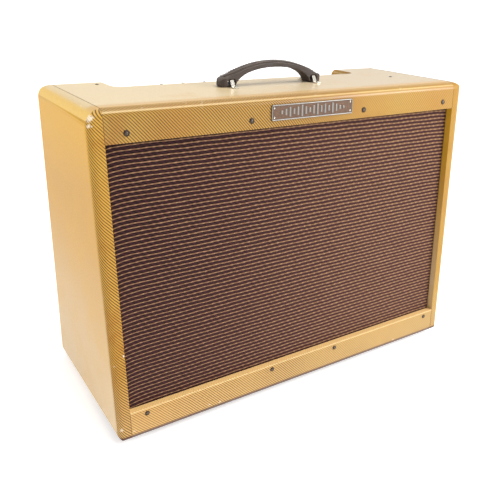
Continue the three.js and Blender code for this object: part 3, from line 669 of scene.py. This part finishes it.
def screw_head(soup, place, radius, spin=0.0, height=0.45):
    """A domed head with a slot across it, as one closed body."""
    rings, sides = 9, 28
    vertices = [(0, 0, -0.4 * radius)]
    for ring in range(rings):
        share = 1 - ring / rings
        reach = radius * share
        for i in range(sides):
            angle = 2 * math.pi * i / sides
            px, py = reach * math.cos(angle), reach * math.sin(angle)
            dome = height * radius * math.sqrt(max(0.0, 1 - share**2 * 0.94))
            across = abs(py * math.cos(spin) - px * math.sin(spin))
            slot = 0.28 * radius if across < 0.13 * radius and share < 0.86 else 0.0
            vertices.append((px, py, dome - slot))
    vertices.append((0, 0, height * radius - 0.28 * radius))
    last = len(vertices) - 1
    faces = [(0, 1 + (i + 1) % sides, 1 + i) for i in range(sides)]
    for ring in range(rings - 1):
        for i in range(sides):
            a = 1 + ring * sides + i
            b = 1 + ring * sides + (i + 1) % sides
            faces.append((a, b, b + sides, a + sides))
    top = 1 + (rings - 1) * sides
    faces += [(last, top + i, top + (i + 1) % sides) for i in range(sides)]
    soup.add(vertices, faces, place)


def cup_washer(soup, place, radius):
    soup.lathe(
        [
            (0, -0.0002),
            (radius * 1.5, -0.0002),
            (radius * 1.52, 0.0002),
            (radius * 1.3, 0.0009),
            (radius * 1.05, 0.0011),
            (radius * 0.98, 0.0004),
            (0, 0.0003),
        ],
        28,
        place,
    )


UPPER_SCREWS = (-0.2865, -0.1010, 0.1080, 0.2900)
LOWER_SCREWS = (-0.2890, -0.0660, 0.0675, 0.2930)
CHASSIS_BOLTS = ((-0.254, 0.085), (0.2575, -0.0125))


def front_screws():
    heads, washers = Soup(), Soup()
    upper_z = OPENING_HIGH + 0.0125
    lower_z = OPENING_LOW - 0.0090
    for x in UPPER_SCREWS:
        screw_head(heads, on_front(x, upper_z, 0.0004), 0.0024, random.uniform(0, 3.1))
        cup_washer(washers, on_front(x, upper_z, 0.0001), 0.0028)
    for x in LOWER_SCREWS:
        screw_head(heads, on_front(x, lower_z, 0.0004), 0.0023, random.uniform(0, 3.1))
        cup_washer(washers, on_front(x, lower_z, 0.0001), 0.0025)
    heads.make("front_panel_screws", AGED_NICKEL, slot="steel")
    washers.make("front_screw_cups", DARK_STEEL, slot="steel")


def back_screws():
    heads, washers = Soup(), Soup()
    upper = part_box("back_panel_upper")
    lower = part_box("back_panel_lower")
    rows = (
        (upper[1].z - 0.016, (-0.298, -0.1, 0.1, 0.298)),
        (upper[0].z + 0.014, (-0.298, 0.298)),
        (lower[1].z - 0.014, (-0.298, 0.298)),
        (lower[0].z + 0.014, (-0.298, -0.1, 0.1, 0.298)),
    )
    for z, places in rows:
        for x in places:
            screw_head(heads, on_rear(x, z, 0.0006), 0.0036, random.uniform(0, 3.1))
            cup_washer(washers, on_rear(x, z, 0.0001), 0.0036)
    heads.make("back_panel_screws", NICKEL, slot="nickel")
    washers.make("back_screw_cups", NICKEL, slot="nickel")


def chassis_bolts():
    heads = Soup()
    for x, y in CHASSIS_BOLTS:
        place = Matrix.Translation((x, y, TOP))
        screw_head(heads, place, 0.0030, random.uniform(0, 3.1), 0.30)
    heads.make("chassis_bolts", DARK_STEEL, slot="steel")


def seams():
    """The dark line of dirt in each joint of the covering, over the top and down the front."""
    lines = Soup()
    radius = 0.00032
    rear = rear_at(TOP) - 0.012
    front = front_at(TOP) + 0.014
    for side, joint in ((-1, LEFT[1].x), (1, RIGHT[0].x)):
        x = joint - side * 0.00015
        path = []
        path += [(x, rear - (rear - front) * i / 12, TOP) for i in range(13)]
        centre_y, centre_z = front_at(TOP) + EDGE_RADIUS, TOP - EDGE_RADIUS
        for i in range(1, 7):
            angle = math.radians(90 + (90 - math.degrees(LEAN)) * i / 7)
            reach = EDGE_RADIUS - 0.0001
            path.append((x, centre_y + reach * math.cos(angle), centre_z + reach * math.sin(angle)))
        z_low = OPENING_HIGH + 0.001
        path += [(x, front_at(z), z) for z in (TOP - EDGE_RADIUS, (TOP + z_low) / 2, z_low)]
        lines.tube(path, radius, 6)
        low = [(x, front_at(z), z) for z in (OPENING_LOW - 0.001, 0.024, BASE + EDGE_RADIUS)]
        lines.tube(low, radius, 6)
    lines.make("covering_seams", SEAM_BROWN, "cabinet", "tweed_board")


seams()
front_screws()
back_screws()
chassis_bolts()

# ------------------------------------------------------------------ nameplate


def rounded_outline(width, height, radius, steps=5):
    points = []
    for cx, cz, start in ((1, 1, 0), (-1, 1, 90), (-1, -1, 180), (1, -1, 270)):
        for i in range(steps + 1):
            angle = math.radians(start + 90 * i / steps)
            points.append(
                (
                    cx * (width / 2 - radius) + radius * math.cos(angle),
                    cz * (height / 2 - radius) + radius * math.sin(angle),
                )
            )
    return points


def nested_rim(soup, loops, place):
    """Closed body between loops of (outline, height) that share a point count, as a ring."""
    count = len(loops[0][0])
    vertices = [(x, y, height) for outline, height in loops for x, y in outline]
    faces = []
    for ring in range(len(loops)):
        following = (ring + 1) % len(loops)
        for i in range(count):
            j = (i + 1) % count
            here, there = ring * count, following * count
            faces.append((here + i, here + j, there + j, there + i))
    soup.add(vertices, faces, place)


def nameplate():
    """Chrome rim, brown field, a plain row of raised bars and four nails: no lettering."""
    low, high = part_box("nameplate")
    centre_x = (low.x + high.x) / 2
    centre_z = (low.z + high.z) / 2
    place = on_front(centre_x, centre_z, 0.0003)
    width, height = high.x - low.x, 0.0225

    rim = Soup()
    loops = []
    section = (
        (0, 0.0),
        (0, 0.0012),
        (0.0005, 0.0019),
        (0.0012, 0.0020),
        (0.0019, 0.0011),
        (0.0019, 0.0),
    )
    for inset, level in section:
        outline = rounded_outline(width - 2 * inset, height - 2 * inset, 0.0026 - inset * 0.6)
        loops.append((outline, level))
    nested_rim(rim, loops, place)
    rim_piece = rim.make("nameplate_rim", WORN_CHROME, slot="chrome")
    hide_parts("nameplate")

    field = Soup()
    outline = rounded_outline(width - 0.0030, height - 0.0030, 0.0018)
    count = len(outline)
    vertices = [(x, y, 0.0001) for x, y in outline] + [(x, y, 0.0009) for x, y in outline]
    faces = [tuple(reversed(range(count))), tuple(range(count, 2 * count))]
    faces += [(i, (i + 1) % count, count + (i + 1) % count, count + i) for i in range(count)]
    field.add(vertices, faces, place)
    field.make("nameplate_field", ENAMEL, slot="bakelite", smooth=False)

    bars = Soup()
    heights = (5, 9, 14, 8, 12, 17, 11, 7, 12, 16, 10, 13, 8, 15, 11, 6, 4)
    spacing = 0.0072
    for i, tall in enumerate(heights):
        x = (i - (len(heights) - 1) / 2) * spacing
        half = tall * MM / 2
        bars.box((x - 0.0016, -half, 0.0006), (x + 0.0016, half, 0.0017), place)
    bars.make("nameplate_bars", WORN_CHROME, slot="chrome", smooth=True, bevel=0.0005)

    nails = Soup()
    for sx in (-1, 1):
        for sy in (-1, 1):
            spot = Matrix.Translation((sx * (width / 2 - 0.0046), sy * (height / 2 - 0.0046), 0.0008))
            nails.lathe(
                [(0, -0.0002), (0.0015, -0.0002), (0.0015, 0.0004), (0.0009, 0.0009), (0, 0.0011)],
                14,
                place @ spot,
            )
    nails.make("nameplate_nails", NICKEL, slot="nickel")


nameplate()

# ------------------------------------------------------------------ grille cloth

ROW_PITCH = 0.00614


def grille():
    """One stretched sheet whose rows of gold thread stand up, and droop where it is tacked."""
    low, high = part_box("grille_cloth")
    rows_up = (high.z - low.z) / ROW_PITCH
    levels = [k / 6 for k in range(int(rows_up * 6) + 1)]
    wide = high.x - low.x
    shares = [0, 0.0015, 0.003, 0.005] + [j / 128 for j in range(1, 128)] + [0.995, 0.997, 0.9985, 1]
    places = [low.x + wide * share for share in shares]
    columns = len(places) - 1
    cloth_front = 0.0102
    thickness = 0.0011
    vertices, rows = [], []
    for level in levels:
        for x in places:
            from_left = (x - low.x) / 0.011
            from_right = (high.x - x) / 0.016
            droop = 0.0042 * math.exp(-from_left) + 0.0012 * math.exp(-from_right)
            waver = 0.00022 * math.sin(x * 95 + level * 0.9) + 0.00014 * math.sin(x * 310 + level * 2.3)
            z = low.z + level * ROW_PITCH - droop + waver
            z = min(max(z, low.z), high.z)
            off = abs((level % 1) - 0.5)
            ridge = 0.00042 * max(0.0, 1 - off / 0.2)
            tuck = 0.0012 * max(0.0, 1 - min(x - low.x, high.x - x) / 0.0035) ** 2
            vertices.append((x, front_at(z) + cloth_front + 0.0006 - ridge + tuck, z))
            rows.append(level)
    across = columns + 1
    front_count = len(vertices)
    vertices += [(x, y + thickness, z) for x, y, z in vertices]
    rows += rows
    faces = []
    tall = len(levels)
    for i in range(tall - 1):
        for j in range(columns):
            a = i * across + j
            faces.append((a, a + 1, a + across + 1, a + across))
            b = front_count + a
            faces.append((b, b + across, b + across + 1, b + 1))
    edge = [j for j in range(across)]
    edge += [i * across + columns for i in range(1, tall)]
    edge += [(tall - 1) * across + j for j in range(columns - 1, -1, -1)]
    edge += [i * across for i in range(tall - 2, 0, -1)]
    for k, a in enumerate(edge):
        b = edge[(k + 1) % len(edge)]
        faces.append((b, a, front_count + a, front_count + b))
    cloth = piece("grille_cloth_woven", vertices, faces, GRILLE, "cabinet")
    attribute = cloth.data.attributes.new("thread_row", "FLOAT", "POINT")
    attribute.data.foreach_set("value", rows)
    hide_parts("grille_cloth")


grille()

# ------------------------------------------------------------------ handle


def bezier(a, b, c, d, steps):
    points = []
    for i in range(steps + 1):
        t = i / steps
        s = 1 - t
        points.append(
            tuple(
                s**3 * a[k] + 3 * s * s * t * b[k] + 3 * s * t * t * c[k] + t**3 * d[k]
                for k in range(2)
            )
        )
    return points


STRAP_ROLL = 0.0034  # radius of the rolled edges
STRAP_VOXEL = 0.00085
STRAP_INSET = 0.0003  # keeps the skin inside the solid that it stands for
STRAP_CROWN = 0.0011  # how far the top falls away towards its sides
CREASE_HEIGHT = 0.00016
FOLD_HEIGHT = 0.0001


def leather_strap():
    """The strap as thick stitched leather, from a copy of its own shape: rolled edges, creases."""
    rough = bpy.data.objects.new("strap_rough", NODES["handle_strap"].data.copy())
    bpy.context.scene.collection.objects.link(rough)
    if "custom_normal" in rough.data.attributes:
        rough.data.attributes.remove(rough.data.attributes["custom_normal"])
    weld = rough.modifiers.new("weld", "WELD")
    weld.merge_threshold = 0.00001
    roll = rough.modifiers.new("roll", "BEVEL")
    roll.width = STRAP_ROLL
    roll.segments = 4
    roll.limit_method = "ANGLE"
    roll.angle_limit = math.radians(42)
    skin = rough.modifiers.new("skin", "REMESH")
    skin.mode = "VOXEL"
    skin.voxel_size = STRAP_VOXEL
    ease = rough.modifiers.new("ease", "SMOOTH")
    ease.factor = 0.5
    ease.iterations = 6
    bpy.context.view_layer.update()
    evaluated = rough.evaluated_get(bpy.context.evaluated_depsgraph_get())
    mesh = bpy.data.meshes.new_from_object(evaluated)
    bpy.data.objects.remove(rough)

    top = STRAP[1].z
    for vertex in mesh.vertices:
        x, y, z = vertex.co
        across = (y - HANDLE_Y) / 0.0115
        outward = vertex.normal
        crease = noise.noise(Vector((x * 55, y * 420, z * 160)))
        fold = noise.noise(Vector((x * 260, y * 60, z * 60 + 9)))
        lift = CREASE_HEIGHT * crease + FOLD_HEIGHT * fold
        move = outward * (lift - STRAP_INSET)
        crown = STRAP_CROWN * min(1.0, abs(across)) ** 2.2
        if outward.z > 0.3 and z > STRAP[0].z + 0.008:
            move.z -= crown * outward.z
        vertex.co += move
        vertex.co.z = min(vertex.co.z, top - 0.0002)
    mesh.polygons.foreach_set("use_smooth", [True] * len(mesh.polygons))
    mesh.materials.clear()
    mesh.materials.append(LEATHER)
    mesh.name = "handle_leather"
    made = bpy.data.objects.new("handle_leather", mesh)
    bpy.context.scene.collection.objects.link(made)
    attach(made, "handle_strap")
    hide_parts("handle_strap")
    return made


def handle():
    base = STRAP[0].z
    rise = STRAP[1].z - base
    end = STRAP[1].x
    right = bezier(
        (0, base + rise), (0.036, base + rise), (0.062, base + 0.024), (end - 0.010, base + 0.015), 22
    )
    left = [(-x, z) for x, z in reversed(right[1:])]
    crest = left + right
    leather_strap()

    pad = Soup()
    half, vertices, faces = 0.0062, [], []
    rising = [(-1.0, -0.0006), (-0.94, 0.0009), (-0.6, 0.0019)]
    profile = rising + [(0.0, 0.0023)] + [(-across, lift) for across, lift in reversed(rising)]
    for i, (x, z) in enumerate(crest):
        ahead = crest[min(i + 1, len(crest) - 1)]
        back = crest[max(i - 1, 0)]
        slope = Vector((ahead[0] - back[0], 0, ahead[1] - back[1])).normalized()
        out = Vector((-slope.z, 0, slope.x))
        taper = min(1.0, 0.35 + 0.65 * min(i, len(crest) - 1 - i) / 4)
        for across, lift in profile:
            point = Vector((x, HANDLE_Y + across * half * taper, z)) + out * lift * taper
            vertices.append(point)
    n = len(profile)
    for i in range(len(crest) - 1):
        for k in range(n - 1):
            a = i * n + k
            faces.append((a, a + n, a + n + 1, a + 1))
        a = i * n
        faces.append((a, a + n - 1, a + 2 * n - 1, a + n))
    faces.append(tuple(range(n)))
    faces.append(tuple(reversed(range(len(vertices) - n, len(vertices)))))
    pad.add(vertices, faces)
    pad.make("handle_crest", LEATHER, "handle_strap", "leather")

    stitches = Soup()
    length = 0.0
    pitch = 0.0048
    for i in range(1, len(crest)):
        a, b = Vector((crest[i - 1][0], 0, crest[i - 1][1])), Vector((crest[i][0], 0, crest[i][1]))
        span = (b - a).length
        along = (b - a).normalized()
        out = Vector((-along.z, 0, along.x))
        while length < span:
            middle = a + along * length
            for side in (-1, 1):
                y = Vector((0, HANDLE_Y + side * 0.0086, 0))
                start = middle + y - along * 0.0015
                shape = ((0.0, 0.0001), (0.0008, 0.0006), (0.0022, 0.0006), (0.003, 0.0001))
                points = [start + along * run + out * lift for run, lift in shape]
                stitches.tube(points, 0.00042, 6)
            length += pitch
        length -= span
    stitches.make("handle_stitches", THREAD_DARK, "handle_strap", "leather")


handle()

# ------------------------------------------------------------------ controls

CONTROL_ROW = 0.078
KNOBS = {
    "presence": (0.019, 8),
    "bass": (0.055, -100),
    "treble": (0.091, 40),
    "volume_1": (0.127, 130),
    "volume_2": (0.163, -20),
}
KNOB_RISE = 0.0195


def knob_pointers():
    """A white line inlaid along each knob's wing, following its rounded ridge."""
    for name, (x, degrees) in KNOBS.items():
        line = Soup()
        ridge = []
        for i in range(9):
            t = 0.05 + 0.80 * i / 8
            along = (32 * t * (1 - t) + 18 * t * t) * MM
            ridge.append((along, 0, PANEL_Z + KNOB_RISE - 6 * t * t * MM - 0.0002))
        place = Matrix.Translation((x, CONTROL_ROW, 0)) @ Matrix.Rotation(math.radians(degrees), 4, "Z")
        line.tube(ridge, 0.00055, 8, place)
        line.make(f"knob_pointer_{name}", WHITE_PAINT, f"knob_{name}", "bakelite")


def panel_marks():
    """Eleven ticks round each knob, every fifth of them longer."""
    marks = Soup()
    low, high = -0.00005, 0.00008
    for x, _ in KNOBS.values():
        centre = Matrix.Translation((x, CONTROL_ROW, PANEL_Z))
        for step in range(11):
            turn = Matrix.Rotation(math.radians(-240 + 30 * step), 4, "Z")
            end = 0.0165 if step % 5 else 0.0172
            marks.box((0.0132, -0.00028, low), (end, 0.00028, high), centre @ turn)
    marks.make("panel_marks", INK, "cabinet", "chrome", smooth=False)


# ------------------------------------------------------------------ speakers and valves

SPEAKER_HEIGHT = (OPENING_LOW + OPENING_HIGH) / 2
SPEAKER_RIM = 0.0252
SHELF_Z = PANEL_Z - 0.064


def speaker_place(sign):
    """The frame of a speaker: its local +Z points to the rear."""
    turn = Matrix.Rotation(-math.pi / 2 - LEAN, 4, "X")
    at = (sign * 0.157, front_at(SPEAKER_HEIGHT) + SPEAKER_RIM, SPEAKER_HEIGHT)
    return Matrix.Translation(at) @ turn


def speaker_fittings():
    bolts, gaskets, lugs, labels = Soup(), Soup(), Soup(), Soup()
    for sign in (-1, 1):
        place = speaker_place(sign)
        for i in range(8):
            angle = math.radians(22.5 + 45 * i)
            spot = Matrix.Translation((0.1455 * math.cos(angle), 0.1455 * math.sin(angle), 0.0046))
            screw_head(bolts, place @ spot, 0.0042, random.uniform(0, 3.1), 0.5)
        sides = 72
        ring = [(0.1515, 0.0031), (0.1515, 0.0048), (0.1400, 0.0090), (0.1385, 0.0078)]
        loops = []
        for radius, level in ring:
            turns = [2 * math.pi * k / sides for k in range(sides)]
            outline = [(radius * math.cos(turn), radius * math.sin(turn)) for turn in turns]
            loops.append((outline, level))
        nested_rim(gaskets, loops, place)
        for x in (-0.009, 0.009):
            lugs.box((x - 0.0022, -0.0665, 0.0918), (x + 0.0022, -0.0595, 0.0926), place)
            solder = Matrix.Translation((x, -0.0630, 0.0922))
            lugs.lathe([(0, 0), (0.002, 0), (0.0016, 0.0016), (0, 0.0024)], 12, place @ solder)
        cover = [(0, 0.1158), (0.040, 0.1158), (0.040, 0.1163), (0.0386, 0.1166), (0, 0.1166)]
        labels.lathe(cover, 48, place)
    bolts.make("speaker_bolts", STEEL, "cabinet", "steel")
    gaskets.make("speaker_gaskets", FIBRE, "cabinet", "fibre_board")
    lugs.make("speaker_lugs", STEEL, "cabinet", "steel")
    labels.make("speaker_magnet_covers", ALUMINIUM, "cabinet", "basket")


def valve_fittings():
    bases, plates, getters = Soup(), Soup(), Soup()
    for x, base, tall in ((0.020, 17.5, 118), (0.086, 17.5, 118), (-0.062, 17.5, 108)):
        place = Matrix.Translation((x, 0.074, SHELF_Z))
        radius = base * MM + 0.0003
        bases.lathe(
            [(0, -0.0246), (radius, -0.0246), (radius, -0.0020), (radius * 0.96, -0.0006), (0, -0.0006)],
            32,
            place,
        )
        low = -tall * MM
        plates.box((-0.0100, -0.0055, low + 0.040), (0.0100, 0.0055, -0.038), place)
        for side in (-1, 1):
            plates.tube([(side * 0.0125, 0, low + 0.036), (side * 0.0125, 0, -0.030)], 0.0008, 8, place)
        for level in (low + 0.037, -0.036):
            high = level + 0.0008
            plates.lathe([(0, level), (0.0150, level), (0.0150, high), (0, high)], 28, place)
        flash = ((0, 0.0028), (0.0080, 0.0050), (0.0128, 0.0100), (0, 0.0110))
        getters.lathe([(radius, low + rise) for radius, rise in flash], 28, place)
    bases.make("valve_bases", BAKELITE, "cabinet", "bakelite")
    plates.make("valve_electrodes", DARK_STEEL, "cabinet", "black_steel")
    getters.make("valve_getters", CHROME, "cabinet", "chrome")


def board_components():
    sleeves, bands = Soup(), Soup()
    floor = SHELF_Z + 0.0019
    for i in range(9):
        long = i % 3 == 0
        radius = 0.0072 if long else 0.0042
        half = 0.0205 if long else 0.0135
        height = floor + (0.014 if long else 0.0115)
        turn = Matrix.Rotation(-math.pi / 2, 4, "X")
        place = Matrix.Translation((-0.196 + i * 0.049, 0.008, height)) @ turn
        ends = [(0, -half), (radius * 0.8, -half), (radius, -half + 0.001)]
        ends += [(radius, half - 0.001), (radius * 0.8, half), (0, half)]
        sleeves.lathe(ends, 24, place)
        for share in (-0.5, 0.1, 0.5):
            middle = share * half
            edge = radius + 0.00012
            end = middle + 0.0014
            bands.lathe([(0, middle), (edge, middle), (edge, end), (0, end)], 24, place)
    sleeves.make("board_components", WAXED_YELLOW, "cabinet", "fibre_board")
    bands.make("board_component_bands", INK, "cabinet", "fibre_board")


knob_pointers()
panel_marks()
speaker_fittings()
valve_fittings()
board_components()

# ------------------------------------------------------------------ stage


def area_light(name, at, toward, size, power, colour=(1, 1, 1)):
    data = bpy.data.lights.new(name, "AREA")
    data.shape = "RECTANGLE"
    data.size, data.size_y = size
    data.energy = power
    data.color = colour
    light = bpy.data.objects.new(name, data)
    light.location = at
    aim = Vector(toward) - Vector(at)
    light.rotation_euler = aim.to_track_quat("-Z", "Y").to_euler()
    bpy.context.scene.collection.objects.link(light)


def stage():
    mesh = bpy.data.meshes.new("floor")
    size = 80.0
    mesh.from_pydata(
        [(-size, -size, 0), (size, -size, 0), (size, size, 0), (-size, size, 0)], [], [(0, 1, 2, 3)]
    )
    floor_graph = Graph("white_floor")
    floor_graph.set(Base_Color=(0.93, 0.93, 0.93, 1), Roughness=0.7, Emission_Color=(1, 1, 1, 1))
    floor_graph.set(Emission_Strength=0.45)
    mesh.materials.append(floor_graph.material)
    floor = bpy.data.objects.new("floor", mesh)
    bpy.context.scene.collection.objects.link(floor)

    world = bpy.data.worlds.new("studio")
    world.use_nodes = True
    world.node_tree.nodes["Background"].inputs["Color"].default_value = (1, 1, 1, 1)
    sky = world.node_tree
    background = sky.nodes["Background"]
    direction = sky.nodes.new("ShaderNodeTexCoord").outputs["Generated"]
    split = sky.nodes.new("ShaderNodeSeparateXYZ")
    sky.links.new(direction, split.inputs["Vector"])
    band = sky.nodes.new("ShaderNodeMapRange")
    band.interpolation_type = "SMOOTHSTEP"
    sky.links.new(split.outputs["Z"], band.inputs["Value"])
    for key, value in (("From Min", 0.12), ("From Max", 0.50), ("To Min", 1.15), ("To Max", 0.40)):
        band.inputs[key].default_value = value
    sky.links.new(band.outputs["Result"], background.inputs["Strength"])
    bpy.context.scene.world = world
    overhead = bpy.data.lights.new("overhead", "SUN")
    overhead.energy = 2.2
    overhead.angle = math.radians(45)
    sun = bpy.data.objects.new("overhead", overhead)
    sun.rotation_euler = Vector((-0.28, 0.30, -1.0)).to_track_quat("-Z", "Y").to_euler()
    bpy.context.scene.collection.objects.link(sun)
    area_light("left_box", (-2.0, 0.1, 1.1), (-0.3, 0, 0.3), (1.2, 1.2), 9)
    area_light("key", (1.35, -1.25, 1.05), (0.1, -0.1, 0.3), (0.6, 0.6), 26)


CAMERA_AT = Vector((-0.5583, -0.8228, 0.6261))
CAMERA_YAW = math.radians(32.93)
CAMERA_PITCH = math.radians(23.405)
CAMERA_ROLL = math.radians(1.719)
CAMERA_LENS = 43.253


def camera():
    ahead = Vector(
        (
            math.sin(CAMERA_YAW) * math.cos(CAMERA_PITCH),
            math.cos(CAMERA_YAW) * math.cos(CAMERA_PITCH),
            -math.sin(CAMERA_PITCH),
        )
    )
    level = ahead.cross(Vector((0, 0, 1))).normalized()
    upright = level.cross(ahead)
    right = level * math.cos(CAMERA_ROLL) + upright * math.sin(CAMERA_ROLL)
    up = upright * math.cos(CAMERA_ROLL) - level * math.sin(CAMERA_ROLL)
    turn = Matrix((right, up, -ahead)).transposed().to_4x4()
    data = bpy.data.cameras.new("camera")
    data.sensor_width = 36
    data.lens = CAMERA_LENS
    data.clip_start = 0.01
    data.clip_end = 100
    made = bpy.data.objects.new("camera", data)
    made.matrix_world = Matrix.Translation(CAMERA_AT) @ turn
    bpy.context.scene.collection.objects.link(made)
    bpy.context.scene.camera = made


stage()
camera()
bpy.context.scene.view_settings.view_transform = "Standard"

bpy.context.view_layer.update()
